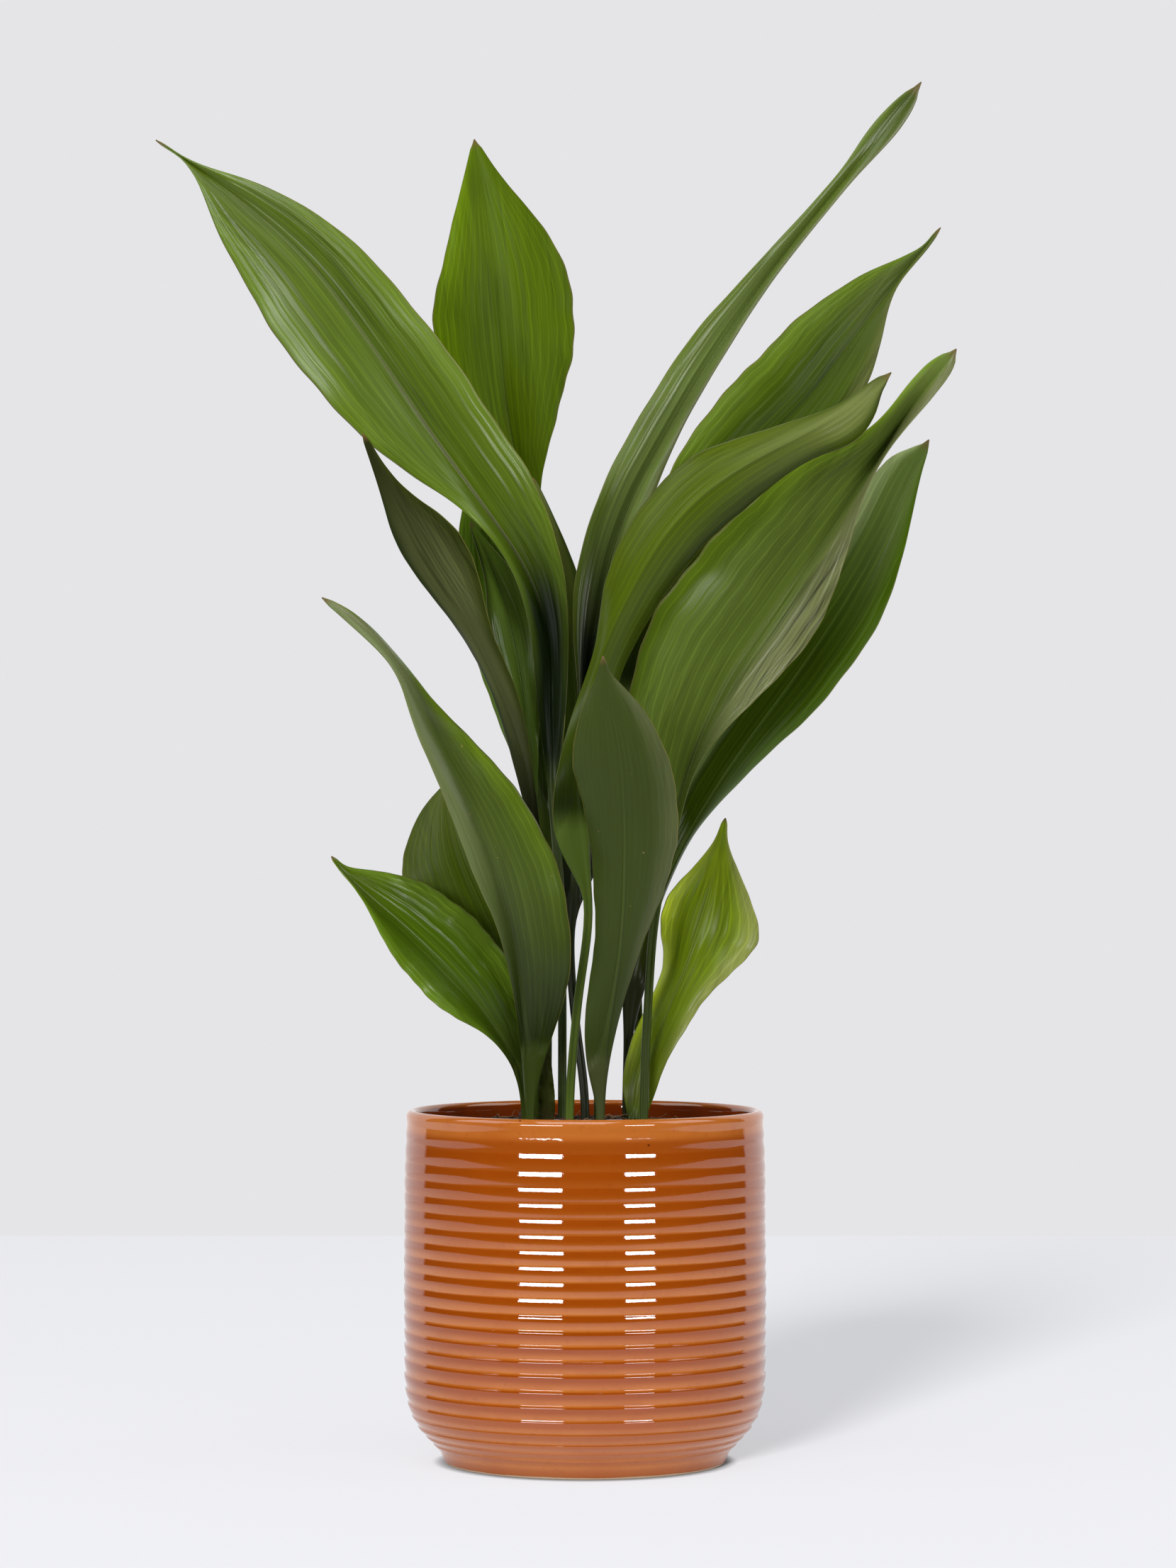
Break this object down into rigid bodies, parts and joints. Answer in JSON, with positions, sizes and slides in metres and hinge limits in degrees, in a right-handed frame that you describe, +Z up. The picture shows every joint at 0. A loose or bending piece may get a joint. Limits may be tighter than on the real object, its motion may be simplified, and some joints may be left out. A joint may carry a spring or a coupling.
{
  "type": "potted cast iron plant",
  "caption": "Cast iron plant with broad arching green leaves on single stalks, in a ribbed amber-glazed ceramic pot filled with soil.",
  "frame": {"origin": "centre of the pot's foot, on the surface it stands on", "axes": "+Z up along the pot's axis, +X to the plant's right as seen from its face, -Y towards the viewer"},
  "size_m": [0.4155, 0.2138, 0.7406],
  "materials": {
    "glaze": "gloss",
    "soil": "matte",
    "leaf_01": "satin",
    "leaf_02": "satin",
    "leaf_03": "satin",
    "leaf_04": "satin",
    "leaf_05": "satin",
    "leaf_06": "satin",
    "leaf_07": "satin",
    "leaf_08": "satin",
    "leaf_09": "satin",
    "leaf_10": "satin",
    "leaf_11": "satin",
    "leaf_12": "satin",
    "leaf_13": "satin",
    "leaf_14": "satin",
    "leaf_15": "satin",
    "leaf_16": "satin",
    "sheath": "matte"
  },
  "bodies": {
    "root": {"pot": "glaze", "soil": "soil", "leaf_01": "leaf_01", "leaf_02": "leaf_02", "leaf_03": "leaf_03", "leaf_04": "leaf_04", "leaf_05": "leaf_05", "leaf_06": "leaf_06", "leaf_07": "leaf_07", "leaf_08": "leaf_08", "leaf_09": "leaf_09", "leaf_10": "leaf_10", "leaf_11": "leaf_11", "leaf_12": "leaf_12", "leaf_13": "leaf_13", "leaf_14": "leaf_14", "leaf_15": "leaf_15", "leaf_16": "leaf_16", "sheath": "sheath"}
  },
  "joints": []
}
